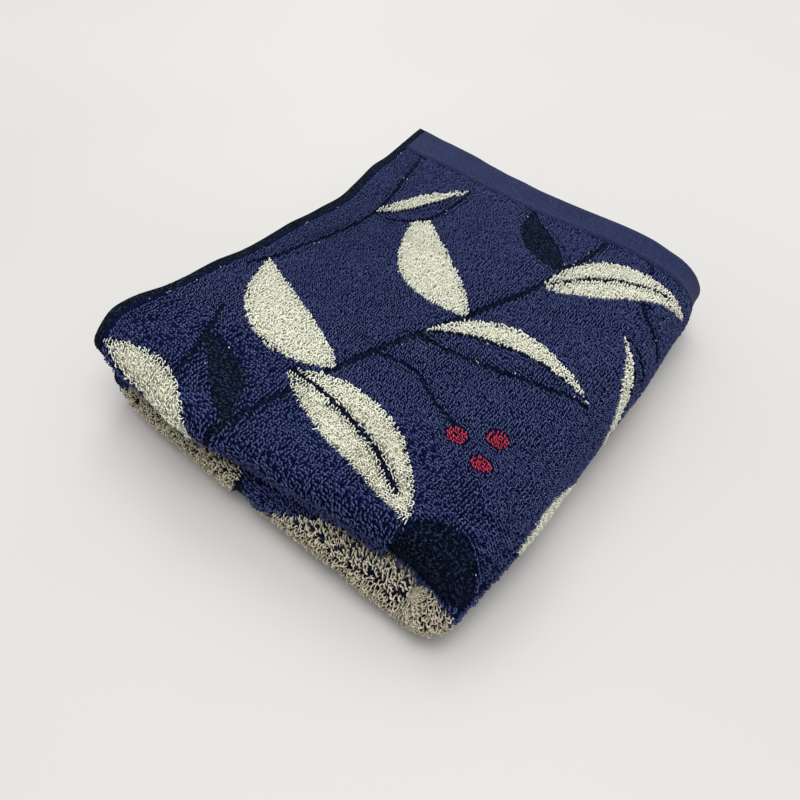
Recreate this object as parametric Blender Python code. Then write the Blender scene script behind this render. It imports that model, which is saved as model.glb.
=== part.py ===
# A face towel of loop terry, folded in four along its length and in half across its width.
#
# The flat towel is made first, thinned at its woven hems and selvages. Two folds and an uneven lie
# are then worked out for each of its points, so all the layers are one cloth.
# The towel lies on the plane z = 0. X runs from the selvages to the big side fold, and Y runs
# from the two rolls at the front to the hem at the back.

from collections import namedtuple
from math import cos, pi, sin

import bmesh
import bpy

# The flat towel, in metres
TOWEL_WIDTH = 0.340
TERRY_THICKNESS = 0.0038
HEM_DEPTH = 0.0165
HEM_THICKNESS = 0.0022
SELVAGE_WIDTH = 0.004
SELVAGE_THICKNESS = 0.0018
PILE_SHOULDER = 0.0015

# The folded towel
FOLDED_LENGTH = 0.191
FOLDED_WIDTH = 0.163
LAYER_GAP = 0.0006
MIDDLE_GAP = 0.0010
BACK_TURN_INSET = 0.0065
INNER_HEM_INSET = 0.0015

# What follows from those sizes
LAYER_PITCH = TERRY_THICKNESS + LAYER_GAP
BOOK_THICKNESS = 4 * TERRY_THICKNESS + 3 * LAYER_GAP
STACK_HEIGHT = 2 * BOOK_THICKNESS + MIDDLE_GAP
OUTER_TURN = 1.5 * LAYER_PITCH
INNER_TURN = 0.5 * LAYER_PITCH
FRONT_TURN_Y = OUTER_TURN + TERRY_THICKNESS / 2
FIRST_LAYER = FOLDED_LENGTH - FRONT_TURN_Y
INNER_LAYER = FIRST_LAYER - BACK_TURN_INSET
LAST_LAYER = FIRST_LAYER - INNER_HEM_INSET
SIDE_FOLD_X = FOLDED_WIDTH - BOOK_THICKNESS - MIDDLE_GAP / 2
SIDE_FOLD_CLOTH = pi * (BOOK_THICKNESS + MIDDLE_GAP / 2 - TERRY_THICKNESS / 2)

# The lengthwise section, walked from the upper hem. A bend is 1 / radius, to the left of the walk.
Run = namedtuple("Run", "name length bend way rows")
SECTION = (
    Run("top layer", FIRST_LAYER, 0, "to the front", 0),
    Run("front roll", pi * OUTER_TURN, 1 / OUTER_TURN, "round", 8),
    Run("lowest layer", INNER_LAYER, 0, "to the back", 0),
    Run("back turn", pi * INNER_TURN, 1 / INNER_TURN, "round", 6),
    Run("third layer", INNER_LAYER, 0, "to the front", 0),
    Run("inner roll", pi * INNER_TURN, -1 / INNER_TURN, "round", 6),
    Run("second layer", LAST_LAYER, 0, "to the back", 0),
)
TOWEL_LENGTH = sum(run.length for run in SECTION)

# How finely each flat layer is divided, from its front end back: close rows, wide ones and close ones
Rows = namedtuple("Rows", "depth count")
LAYER_ROWS = (Rows(0.022, 3), Rows(0.123, 7), Rows(0.012, 1))
FLAT_STEPS = 8
SIDE_FOLD_STEPS = 12

# How the edges wander. Each row is a place along the edge and how far the cloth stands out there.
# The upper roll's row is added to the front's, and sets it back from the lower roll.
Wander = namedtuple("Wander", "place out")
UPPER_SELVAGE = (
    Wander(0.000, 0.0040),
    Wander(0.018, 0.0112),
    Wander(0.050, 0.0045),
    Wander(0.085, -0.0030),
    Wander(0.125, -0.0062),
    Wander(0.155, -0.0012),
    Wander(0.191, 0.0028),
)
LOWER_SELVAGE = (
    Wander(0.000, 0.0006),
    Wander(0.060, 0.0000),
    Wander(0.130, -0.0030),
    Wander(0.191, -0.0010),
)
SIDE_FOLD_EDGE = (
    Wander(0.000, -0.0020),
    Wander(0.050, 0.0014),
    Wander(0.120, 0.0000),
    Wander(0.165, -0.0026),
    Wander(0.191, -0.0062),
)
HEM_EDGE = (
    Wander(0.000, 0.0058),
    Wander(0.028, 0.0038),
    Wander(0.075, -0.0004),
    Wander(0.120, 0.0018),
    Wander(0.163, -0.0020),
)
FRONT_EDGE = (
    Wander(0.000, -0.0010),
    Wander(0.018, 0.0016),
    Wander(0.060, 0.0020),
    Wander(0.105, 0.0004),
    Wander(0.163, -0.0016),
)
UPPER_SETBACK = (
    Wander(0.000, -0.0004),
    Wander(0.030, -0.0013),
    Wander(0.046, 0.0004),
    Wander(0.085, -0.0050),
    Wander(0.115, -0.0086),
    Wander(0.140, -0.0112),
    Wander(0.151, -0.0100),
    Wander(0.163, -0.0045),
)
EDGE_REACH = 0.070
LAYER_STAGGER = 0.0042
STAGGER_AT_FRONT = 0.3
LAYER_WAVE = 0.0009
LAYER_WAVE_LENGTH = 0.105
LAYER_WAVE_TURN = 9.0

# How the stack is lower in places, as parts of its height, how far up the front the two rolls meet,
# and how far the soft rolls press forward where they lie against each other
FRONT_LIFT = 0.075
HEM_DROP = 0.13
HEM_DROP_REACH = 0.045
SELVAGE_DROP = 0.07
SELVAGE_DROP_REACH = 0.040
MIDDLE_SAG = 0.045
POINT_DROP = 0.08
POINT_SQUEEZE = 0.07
POINT_REACH = 0.065
ROLL_FILL = 0.0035
ROLL_FILL_AT_POINT = 0.0019
FILL_REACH = 0.042
SWELL = 0.0007
SWELL_LENGTH = 0.118

TERRY_COLOUR = (0.026, 0.035, 0.115, 1.0)


def ease(start, end, value):
    """0 before start, 1 after end, and a soft slope between them."""
    part = min(max((value - start) / (end - start), 0.0), 1.0)
    return part * part * (3 - 2 * part)


def wander(table, place):
    """How far out the cloth stands at this place along an edge."""
    if place <= table[0].place:
        return table[0].out
    for before, after in zip(table, table[1:]):
        if place <= after.place:
            part = ease(before.place, after.place, place)
            return before.out + (after.out - before.out) * part
    return table[-1].out


def half_thickness(across, along):
    """Half the cloth's thickness: full in the terry, thin in the flat woven hems and selvages."""
    from_selvage = min(across, TOWEL_WIDTH - across)
    from_hem = min(along, TOWEL_LENGTH - along)
    pile = min(
        ease(SELVAGE_WIDTH, SELVAGE_WIDTH + PILE_SHOULDER, from_selvage),
        ease(HEM_DEPTH, HEM_DEPTH + PILE_SHOULDER, from_hem),
    )
    flat = SELVAGE_THICKNESS if from_selvage < SELVAGE_WIDTH else HEM_THICKNESS
    return (flat + (TERRY_THICKNESS - flat) * pile) / 2


def fold_lengthwise(along, lift):
    """Walks the section to this place, and gives its y and its height in the four layers."""
    y = FOLDED_LENGTH
    height = BOOK_THICKNESS - TERRY_THICKNESS / 2
    heading = pi
    for run in SECTION:
        step = min(along, run.length)
        if run.bend:
            centre_y = y - sin(heading) / run.bend
            centre_height = height + cos(heading) / run.bend
            heading += step * run.bend
            y = centre_y + sin(heading) / run.bend
            height = centre_height - cos(heading) / run.bend
        else:
            y += step * cos(heading)
            height += step * sin(heading)
        along -= step
        if along <= 0:
            break
    return y + lift * sin(heading), height - lift * cos(heading)


def fold_sideways(across, height):
    """Turns the four layers over at the side fold, and gives x and z."""
    radius = MIDDLE_GAP / 2 + height
    middle = STACK_HEIGHT / 2
    if across < SIDE_FOLD_X:
        return across, middle + radius
    past = across - SIDE_FOLD_X
    if past < SIDE_FOLD_CLOTH:
        angle = pi * past / SIDE_FOLD_CLOTH
        return SIDE_FOLD_X + radius * sin(angle), middle + radius * cos(angle)
    return SIDE_FOLD_X - (past - SIDE_FOLD_CLOTH), middle - radius


def lie_unevenly(x, y, z):
    """Moves a point of the neat stack to where the loosely folded towel has it."""
    level = z / STACK_HEIGHT
    near_selvage = 1 - ease(0, EDGE_REACH, x)
    near_side_fold = ease(FOLDED_WIDTH - EDGE_REACH, FOLDED_WIDTH, x)
    near_front = 1 - ease(0, EDGE_REACH, y)
    near_hem = ease(FOLDED_LENGTH - EDGE_REACH, FOLDED_LENGTH, y)

    upper = ease(0.35, 0.65, level)
    selvage_out = wander(UPPER_SELVAGE, y) * upper + wander(LOWER_SELVAGE, y) * (1 - upper)
    stagger = LAYER_STAGGER * (1 - (1 - STAGGER_AT_FRONT) * near_front)
    selvage_out += stagger * (1 - (2 * level - 1) ** 2)
    selvage_out += LAYER_WAVE * sin(2 * pi * y / LAYER_WAVE_LENGTH + LAYER_WAVE_TURN * level)
    hem_out = wander(HEM_EDGE, x)
    hem_out += LAYER_WAVE * sin(2 * pi * x / LAYER_WAVE_LENGTH + LAYER_WAVE_TURN * level)
    new_x = x - near_selvage * selvage_out + near_side_fold * wander(SIDE_FOLD_EDGE, y)
    front_out = wander(FRONT_EDGE, x) + wander(UPPER_SETBACK, x) * ease(0.34, 0.66, level)
    new_y = y + near_hem * hem_out - near_front * front_out

    to_point = max(0.0, 1 - ((FOLDED_WIDTH - x) ** 2 + y**2) ** 0.5 / POINT_REACH)
    point = ease(0, 1, to_point)
    fill = ROLL_FILL + (ROLL_FILL_AT_POINT - ROLL_FILL) * point
    fill *= 1 - ease(0, 0.55, abs(2 * level - 1))
    new_y -= fill * ease(0, FRONT_TURN_Y, y) * (1 - ease(FRONT_TURN_Y, FILL_REACH, y))
    inside = 4 * level * (1 - level)
    scale = 1 - HEM_DROP * ease(FOLDED_LENGTH - HEM_DROP_REACH, FOLDED_LENGTH, y)
    scale -= SELVAGE_DROP * (1 - ease(0, SELVAGE_DROP_REACH, x)) * (1 - near_front)
    scale -= MIDDLE_SAG * sin(pi * min(max(x / SIDE_FOLD_X, 0), 1)) * sin(pi * min(y / FOLDED_LENGTH, 1))
    scale -= POINT_DROP * point
    meeting = FRONT_LIFT * near_front * (1 - point) - POINT_SQUEEZE * point
    new_z = (z + STACK_HEIGHT * meeting * inside) * scale
    new_z += SWELL * level**2 * sin(2 * pi * (x + 0.6 * y) / SWELL_LENGTH)
    return new_x, new_y, new_z


def stations(runs):
    """Places along one direction of the flat cloth, from rows of length and number of steps."""
    places = [0.0]
    for length, steps in runs:
        start = places[-1]
        places += [start + length * step / steps for step in range(1, steps + 1)]
    return places


def rows_from_front(run):
    """Places on a flat layer, from the front turn back, the same on all layers until near the hems."""
    runs = list(LAYER_ROWS)
    last = run.length - sum(rows.depth for rows in LAYER_ROWS)
    if run.name in ("top layer", "second layer"):
        runs += [(last - HEM_DEPTH - PILE_SHOULDER, 1), (PILE_SHOULDER, 1), (HEM_DEPTH, 1)]
    else:
        runs.append((last, 2))
    return stations(runs)


def rows_along():
    """Places from hem to hem along the flat towel."""
    places = [0.0]
    for run in SECTION:
        start = places[-1]
        if run.way == "round":
            steps = stations([(run.length, run.rows)])
        elif run.way == "to the back":
            steps = rows_from_front(run)
        else:
            steps = [run.length - place for place in rows_from_front(run)[::-1]]
        places += [start + step for step in steps[1:]]
    return places


def columns_across():
    """Places from selvage to selvage, close together round the side fold."""
    edge = [(SELVAGE_WIDTH, 1), (PILE_SHOULDER, 1)]
    rest = SELVAGE_WIDTH + PILE_SHOULDER
    lower_half = TOWEL_WIDTH - SIDE_FOLD_X - SIDE_FOLD_CLOTH
    upper = edge + [(SIDE_FOLD_X - rest, FLAT_STEPS)]
    lower = [(lower_half - rest, FLAT_STEPS)] + edge[::-1]
    return stations(upper + [(SIDE_FOLD_CLOTH, SIDE_FOLD_STEPS)] + lower)


def flat_towel():
    """The flat towel as a closed slab of its own thickness."""
    slab = bmesh.new()
    along = rows_along()
    across = columns_across()
    sheet = [[slab.verts.new((u, v, 0)) for u in across] for v in along]
    for row, next_row in zip(sheet, sheet[1:]):
        for corner in range(len(across) - 1):
            slab.faces.new((row[corner], row[corner + 1], next_row[corner + 1], next_row[corner]))
    raised = bmesh.ops.extrude_face_region(slab, geom=slab.faces[:])["geom"]
    face_up = {item for item in raised if isinstance(item, bmesh.types.BMVert)}
    for vert in slab.verts:
        half = half_thickness(vert.co.x, vert.co.y)
        vert.co.z = half if vert in face_up else -half
    bmesh.ops.recalc_face_normals(slab, faces=slab.faces[:])
    return slab


def fold(slab):
    """Folds the flat towel both ways, and stands the stack on the middle of its own base."""
    for vert in slab.verts:
        across, along, lift = vert.co
        y, height = fold_lengthwise(along, lift)
        x, z = fold_sideways(across, height)
        vert.co = lie_unevenly(x, y, z)
    middle_x = (min(v.co.x for v in slab.verts) + max(v.co.x for v in slab.verts)) / 2
    middle_y = (min(v.co.y for v in slab.verts) + max(v.co.y for v in slab.verts)) / 2
    lowest = min(v.co.z for v in slab.verts)
    bmesh.ops.translate(slab, verts=slab.verts[:], vec=(-middle_x, -middle_y, -lowest))


def terry_material():
    """Dyed cotton terry, navy and quite dull."""
    material = bpy.data.materials.new("navy terry")
    material.use_nodes = True
    shader = material.node_tree.nodes["Principled BSDF"]
    shader.inputs["Base Color"].default_value = TERRY_COLOUR
    shader.inputs["Roughness"].default_value = 0.95
    shader.inputs["Metallic"].default_value = 0.0
    return material


def make_towel():
    slab = flat_towel()
    fold(slab)
    if slab.calc_volume(signed=True) < 0:
        bmesh.ops.reverse_faces(slab, faces=slab.faces[:])
    mesh = bpy.data.meshes.new("towel")
    slab.to_mesh(mesh)
    slab.free()
    mesh.materials.append(terry_material())
    mesh.shade_smooth()
    towel = bpy.data.objects.new("towel", mesh)
    bpy.context.collection.objects.link(towel)
    return towel


for old in list(bpy.data.objects):
    bpy.data.objects.remove(old, do_unlink=True)
make_towel()
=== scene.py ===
# A folded face towel of looped terry: woven ground, pile loops, hems, selvages and a soft studio.
from math import pi, radians

import bpy
import numpy as np
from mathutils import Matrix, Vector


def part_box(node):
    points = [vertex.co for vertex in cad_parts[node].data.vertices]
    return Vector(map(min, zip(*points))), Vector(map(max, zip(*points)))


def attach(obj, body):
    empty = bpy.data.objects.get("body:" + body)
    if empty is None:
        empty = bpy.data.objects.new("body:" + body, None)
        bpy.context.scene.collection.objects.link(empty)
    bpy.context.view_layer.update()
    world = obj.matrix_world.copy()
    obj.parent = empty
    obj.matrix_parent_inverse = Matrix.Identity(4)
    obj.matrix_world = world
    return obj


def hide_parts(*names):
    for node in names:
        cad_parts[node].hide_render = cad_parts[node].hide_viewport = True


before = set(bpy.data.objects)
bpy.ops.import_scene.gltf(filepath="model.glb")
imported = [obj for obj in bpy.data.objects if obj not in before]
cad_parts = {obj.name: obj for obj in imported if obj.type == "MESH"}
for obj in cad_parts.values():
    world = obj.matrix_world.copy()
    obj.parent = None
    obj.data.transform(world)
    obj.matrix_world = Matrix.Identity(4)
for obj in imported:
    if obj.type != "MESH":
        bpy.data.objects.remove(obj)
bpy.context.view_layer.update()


# the cloth and how it is folded, in metres
towelCloth = {
    "width": 0.340,  # selvage to selvage
    "terry": 0.0038,  # thickness with the pile of both faces
    "hem": 0.0165, "hemThick": 0.0022,
    "hemSlant": 0.0018, "hemSlantReach": 0.14,  # the upper hem is deepest at the selvage
    "selvage": 0.004, "selvageThick": 0.0018,
    "shoulder": 0.0015,  # from the flat edge up to full pile
    "weave": 0.0004,  # half the ground weave under the loops
    "hiddenPile": 0.00155,  # half thickness where the pile is packed between layers
}
foldedStack = {
    "length": 0.191, "width": 0.163,
    "layerGap": 0.0006, "middleGap": 0.0010,
    "backTurnInset": 0.0065, "innerHemInset": 0.0015,
}
pitch = towelCloth["terry"] + foldedStack["layerGap"]
bookThick = 4 * towelCloth["terry"] + 3 * foldedStack["layerGap"]
stackHeight = 2 * bookThick + foldedStack["middleGap"]
outerTurn, innerTurn = 1.5 * pitch, 0.5 * pitch
firstLayer = foldedStack["length"] - outerTurn - towelCloth["terry"] / 2
innerLayer = firstLayer - foldedStack["backTurnInset"]
lastLayer = firstLayer - foldedStack["innerHemInset"]
sideFoldX = foldedStack["width"] - bookThick - foldedStack["middleGap"] / 2
sideFoldCloth = pi * (bookThick + foldedStack["middleGap"] / 2 - towelCloth["terry"] / 2)
foldRuns = [  # length along the cloth, bend as 1 / radius
    (firstLayer, 0.0),  # top layer
    (pi * outerTurn, 1 / outerTurn),  # front roll
    (innerLayer, 0.0),  # lowest layer
    (pi * innerTurn, 1 / innerTurn),  # back turn
    (innerLayer, 0.0),  # third layer
    (pi * innerTurn, -1 / innerTurn),  # inner roll
    (lastLayer, 0.0),  # second layer
]
clothLength = sum(length for length, _ in foldRuns)
frontRollEnd = firstLayer + pi * outerTurn
backTurnStart = frontRollEnd + innerLayer

edgeWander = {  # place along the edge, how far the cloth stands out there
    "upperSelvage": [(0.000, 0.0040), (0.018, 0.0112), (0.050, 0.0045), (0.085, -0.0030),
                     (0.125, -0.0062), (0.155, -0.0012), (0.191, 0.0028)],
    "lowerSelvage": [(0.000, 0.0006), (0.060, 0.0000), (0.130, -0.0030), (0.191, -0.0010)],
    "sideFold": [(0.000, -0.0020), (0.050, 0.0014), (0.120, 0.0000), (0.165, -0.0026), (0.191, -0.0062)],
    "hem": [(0.000, 0.0058), (0.028, 0.0038), (0.075, -0.0004), (0.120, 0.0018), (0.163, -0.0020)],
    "front": [(0.000, -0.0010), (0.018, 0.0016), (0.060, 0.0020), (0.105, 0.0004), (0.163, -0.0016)],
    "setback": [(0.000, -0.0004), (0.030, -0.0013), (0.046, 0.0004), (0.085, -0.0050),
                (0.115, -0.0086), (0.140, -0.0112), (0.151, -0.0100), (0.163, -0.0045)],  # upper roll only
    "topHem": [(0.000, 0.0004), (0.020, -0.0008), (0.034, -0.0021), (0.044, -0.0026), (0.052, -0.0021),
               (0.066, -0.0006), (0.084, 0.0000), (0.132, 0.0000),
               (0.148, -0.0014), (0.163, -0.0012)],  # top layer only
}
unevenLie = {
    "edgeReach": 0.070, "layerStagger": 0.0042, "staggerAtFront": 0.3,
    "upperHalf": (0.35, 0.65), "setbackHalf": (0.34, 0.66),  # shares of the height
    "topFrom": 0.8, "topStraighter": 0.6,  # the top layer's hem was pulled straight
    "layerWave": 0.0009, "layerWaveLength": 0.105, "layerWaveTurn": 9.0,
    "frontLift": 0.075, "hemDrop": 0.13, "hemDropReach": 0.045,
    "selvageDrop": 0.07, "selvageDropReach": 0.040, "middleSag": 0.045,
    "pointDrop": 0.08, "pointSqueeze": 0.07, "pointReach": 0.065,
    "rollFill": 0.0035, "rollFillAtPoint": 0.0019, "rollFillFrom": 0.55, "fillReach": 0.042,
    "swell": 0.0007, "swellLength": 0.118, "swellSkew": 0.6,
    "ripple": 0.00036, "rippleLength": 0.027, "rippleEnd": (0.032, 0.014),  # soft dents, not in the solid
}


def ease(start, end, value):  # 0 before start, 1 after end, a soft slope between
    part = np.clip((value - start) / (end - start), 0.0, 1.0)
    return part * part * (3 - 2 * part)


def wander(edge, place):  # how far out the cloth stands at this place along an edge
    places, outs = (np.array(column) for column in zip(*edgeWander[edge]))
    place = np.clip(place, places[0], places[-1])
    before = np.clip(np.searchsorted(places, place, side="right") - 1, 0, len(places) - 2)
    part = ease(places[before], places[before + 1], place)
    return outs[before] + (outs[before + 1] - outs[before]) * part


def foldLengthwise(along, lift):  # the cloth's walk from the upper hem through its four layers
    y, height, heading = np.zeros_like(along), np.zeros_like(along), np.zeros_like(along)
    startY, startHeight = foldedStack["length"], bookThick - towelCloth["terry"] / 2
    startHeading, start = pi, 0.0
    for number, (length, bend) in enumerate(foldRuns):
        here = (along >= start) | (number == 0)
        step = along[here] - start
        if number < len(foldRuns) - 1:
            step = np.minimum(step, length)
        turned = startHeading + step * bend
        if bend:
            y[here] = startY + (np.sin(turned) - np.sin(startHeading)) / bend
            height[here] = startHeight - (np.cos(turned) - np.cos(startHeading)) / bend
            startY += (np.sin(startHeading + length * bend) - np.sin(startHeading)) / bend
            startHeight -= (np.cos(startHeading + length * bend) - np.cos(startHeading)) / bend
            startHeading += length * bend
        else:
            y[here] = startY + step * np.cos(startHeading)
            height[here] = startHeight + step * np.sin(startHeading)
            startY += length * np.cos(startHeading)
        heading[here] = turned
        start += length
    return y + lift * np.sin(heading), height - lift * np.cos(heading)


def foldSideways(across, height):  # the four layers turned over at the big side fold
    radius = foldedStack["middleGap"] / 2 + height
    middle = stackHeight / 2
    past = across - sideFoldX
    angle = pi * np.clip(past / sideFoldCloth, 0, 1)
    x = sideFoldX + radius * np.sin(angle) + np.minimum(past, 0) - np.maximum(past - sideFoldCloth, 0)
    return x, middle + radius * np.cos(angle)


def layerWave(place, level):  # the edges of the layers wander, each a little after the last
    return np.sin(2 * pi * place / unevenLie["layerWaveLength"] + unevenLie["layerWaveTurn"] * level)


def lieUnevenly(x, y, z):  # from the neat stack to where the loosely folded towel has it
    lie = unevenLie
    level = z / stackHeight
    nearSelvage = 1 - ease(0, lie["edgeReach"], x)
    nearSideFold = ease(foldedStack["width"] - lie["edgeReach"], foldedStack["width"], x)
    nearFront = 1 - ease(0, lie["edgeReach"], y)
    nearHem = ease(foldedStack["length"] - lie["edgeReach"], foldedStack["length"], y)
    upper = ease(*lie["upperHalf"], level)
    top = ease(lie["topFrom"], 1, level)
    selvageOut = wander("upperSelvage", y) * upper + wander("lowerSelvage", y) * (1 - upper)
    stagger = lie["layerStagger"] * (1 - (1 - lie["staggerAtFront"]) * nearFront)
    selvageOut += stagger * (1 - (2 * level - 1) ** 2)
    selvageOut += lie["layerWave"] * layerWave(y, level)
    hemOut = wander("hem", x)
    straighter = 1 - lie["topStraighter"] * top
    hemOut += straighter * lie["layerWave"] * layerWave(x, level)
    hemOut += wander("topHem", x) * top
    newX = x - nearSelvage * selvageOut + nearSideFold * wander("sideFold", y)
    frontOut = wander("front", x) + wander("setback", x) * ease(*lie["setbackHalf"], level)
    newY = y + nearHem * hemOut - nearFront * frontOut
    toPoint = np.maximum(0.0, 1 - np.hypot(foldedStack["width"] - x, y) / lie["pointReach"])
    point = ease(0, 1, toPoint)
    fill = lie["rollFill"] + (lie["rollFillAtPoint"] - lie["rollFill"]) * point
    fill *= 1 - ease(0, lie["rollFillFrom"], np.abs(2 * level - 1))
    frontTurnY = outerTurn + towelCloth["terry"] / 2
    newY -= fill * ease(0, frontTurnY, y) * (1 - ease(frontTurnY, lie["fillReach"], y))
    inside = 4 * level * (1 - level)
    scale = 1 - lie["hemDrop"] * ease(foldedStack["length"] - lie["hemDropReach"], foldedStack["length"], y)
    scale -= lie["selvageDrop"] * (1 - ease(0, lie["selvageDropReach"], x)) * (1 - nearFront)
    sagAcross = np.sin(pi * np.clip(x / sideFoldX, 0, 1))
    sagAlong = np.sin(pi * np.minimum(y / foldedStack["length"], 1))
    scale -= lie["middleSag"] * sagAcross * sagAlong
    scale -= lie["pointDrop"] * point
    meeting = lie["frontLift"] * nearFront * (1 - point) - lie["pointSqueeze"] * point
    newZ = (z + stackHeight * meeting * inside) * scale
    newZ += lie["swell"] * level**2 * np.sin(2 * pi * (x + lie["swellSkew"] * y) / lie["swellLength"])
    turnX, turnY = 2 * pi * x / lie["rippleLength"], 2 * pi * y / lie["rippleLength"]
    ripple = np.sin(turnX + 1.3 * np.sin(0.7 * turnY)) * np.sin(0.8 * turnY + 1.1 * np.sin(0.6 * turnX))
    beforeHem = [foldedStack["length"] - inset for inset in lie["rippleEnd"]]
    newZ += lie["ripple"] * ripple * level**4 * (1 - ease(*beforeHem, y))
    return newX, newY, newZ


def foldTowel(across, along, lift):
    y, height = foldLengthwise(along, lift)
    x, z = foldSideways(across, height)
    return np.stack(lieUnevenly(x, y, z), axis=-1)


def hemSlant(across):
    return towelCloth["hemSlant"] * np.cos(pi * np.clip(across / towelCloth["hemSlantReach"], 0, 1))


def insideBands(across, along):  # how far each place is inside the selvages, and inside the hems
    hem = towelCloth["hem"] + hemSlant(across) * (along < clothLength / 2)
    return (np.minimum(across, towelCloth["width"] - across) - towelCloth["selvage"],
            np.minimum(along, clothLength - along) - hem)


def halfThickness(across, along, terry):  # flat at the woven hems and selvages, full in the terry
    pastSelvage, pastHem = insideBands(across, along)
    pile = np.minimum(ease(0, towelCloth["shoulder"], pastSelvage), ease(0, towelCloth["shoulder"], pastHem))
    flat = np.where(pastSelvage < 0, towelCloth["selvageThick"], towelCloth["hemThick"]) / 2
    return flat + (terry - flat) * pile


def stackOrigin():  # the middle of the folded outline and its lowest point, as the solid has them
    across, along = np.meshgrid(np.linspace(0, towelCloth["width"], 341), np.linspace(0, clothLength, 1501))
    half = halfThickness(across, along, towelCloth["terry"] / 2)
    both = np.concatenate([foldTowel(across, along, half), foldTowel(across, along, -half)]).reshape(-1, 3)
    low, high = both.min(axis=0), both.max(axis=0)
    return np.array([(low[0] + high[0]) / 2, (low[1] + high[1]) / 2, low[2]])


origin = stackOrigin()
cadLow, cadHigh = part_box("towel")
print("stage: fold worked out, origin", origin.round(5),
      "CAD middle", [round((a + b) / 2, 5) for a, b in zip(cadLow, cadHigh)])


floorPress = 0.0001  # pile that meets the floor is pressed flat this far above it


def placeOnTowel(across, along, lift):  # a place on the flat towel, in the row frame
    placed = foldTowel(across, along, lift) - origin
    placed[..., 2] = np.maximum(placed[..., 2], floorPress)
    return placed


# the woven design: leafy sprigs of our own, in towel coordinates (across, along)
leafRows = [  # base across, base along, tip across, tip along, widest, bow, kind
    (0.0620, 0.151, 0.1360, 0.184, 0.0250, 0.10, "veined"),
    (0.0740, 0.141, 0.0120, 0.114, 0.0220, 0.12, "cream"),
    (0.0880, 0.107, 0.1520, 0.096, 0.0210, 0.13, "half"),
    (0.0960, 0.090, 0.0400, 0.048, 0.0220, 0.12, "cream"),
    (0.1090, 0.057, 0.1640, 0.027, 0.0210, 0.12, "veined"),
    (0.1120, 0.045, 0.0780, 0.015, 0.0140, 0.12, "sunk"),
    (0.0210, 0.064, 0.0500, 0.026, 0.0150, -0.14, "half"),
    (0.0560, 0.196, 0.0050, 0.187, 0.0160, -0.10, "cream"),
    (0.0620, 0.183, 0.0270, 0.158, 0.0120, -0.14, "sunk"),
    (0.1690, 0.153, 0.1960, 0.102, 0.0180, 0.12, "cream"),
    (0.1730, 0.098, 0.1480, 0.062, 0.0140, -0.12, "half"),
    (0.1790, 0.066, 0.2030, 0.026, 0.0150, 0.12, "cream"),
    (0.1670, 0.176, 0.1320, 0.205, 0.0240, -0.10, "sunk"),
    (0.1580, 0.199, 0.2600, 0.189, 0.0400, 0.03, "cream"),
    (0.2560, 0.176, 0.2720, 0.214, 0.0110, 0.10, "sunk"),
    (0.2670, 0.200, 0.3370, 0.187, 0.0390, -0.04, "cream"),
]
stemRows = [  # width of the sunk line, then its points
    (0.0034, [(0.058, 0.224), (0.063, 0.184), (0.077, 0.134), (0.097, 0.088),
              (0.111, 0.048), (0.117, 0.012)]),
    (0.0030, [(0.172, 0.224), (0.167, 0.172), (0.172, 0.120), (0.180, 0.066), (0.178, 0.012)]),
    (0.0026, [(0.014, 0.012), (0.022, 0.052), (0.019, 0.088), (0.010, 0.122)]),
    (0.0024, [(0.079, 0.126), (0.098, 0.124), (0.112, 0.131), (0.128, 0.136)]),
    (0.0026, [(0.139, 0.012), (0.143, 0.030), (0.150, 0.046), (0.166, 0.054)]),
    (0.0024, [(0.034, 0.224), (0.040, 0.196), (0.036, 0.170), (0.024, 0.146)]),
]
berryRows = [  # across, along, radius
    (0.1260, 0.1385, 0.0036), (0.1370, 0.1300, 0.0036), (0.1385, 0.1440, 0.0034)]
midrib, outline, berryRim = 0.0022, 0.0026, 0.0009  # widths of the sunk lines
designRepeat = {  # the rest of the towel repeats the same sprigs, turned half round beside the first ones
    "turnedFrom": 0.207, "turnedBefore": 0.166, "turnedAcross": 0.346, "turnedAlong": 0.176,
    "from": 0.222, "across": 0.178, "along": 0.205,
}
navyYarn, creamYarn, redYarn, noPile = 0, 1, 2, 3
compass = np.arange(8) * pi / 4  # eight ways round a place


def smoothPath(points, steps=10):  # a soft curve through the points
    points = np.array(points)
    ends = np.vstack([2 * points[0] - points[1], points, 2 * points[-1] - points[-2]])
    t = np.linspace(0, 1, steps, endpoint=False)[:, None]
    pieces = []
    for a, b, c, d in zip(ends, ends[1:], ends[2:], ends[3:]):
        pieces.append(b + 0.5 * t * (c - a + t * (2 * a - 5 * b + 4 * c - d + t * (3 * (b - c) + d - a))))
    return np.vstack(pieces + [points[-1:]])


stemPaths = [(width, smoothPath(points)) for width, points in stemRows]


def offPath(across, along, path):  # how far each place is from a curve
    nearest = np.full(across.shape, 1.0)
    for (a, b), (c, d) in zip(path, path[1:]):
        length2 = (c - a) ** 2 + (d - b) ** 2
        t = np.clip(((across - a) * (c - a) + (along - b) * (d - b)) / length2, 0, 1)
        nearest = np.minimum(nearest, np.hypot(across - a - t * (c - a), along - b - t * (d - b)))
    return nearest


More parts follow.
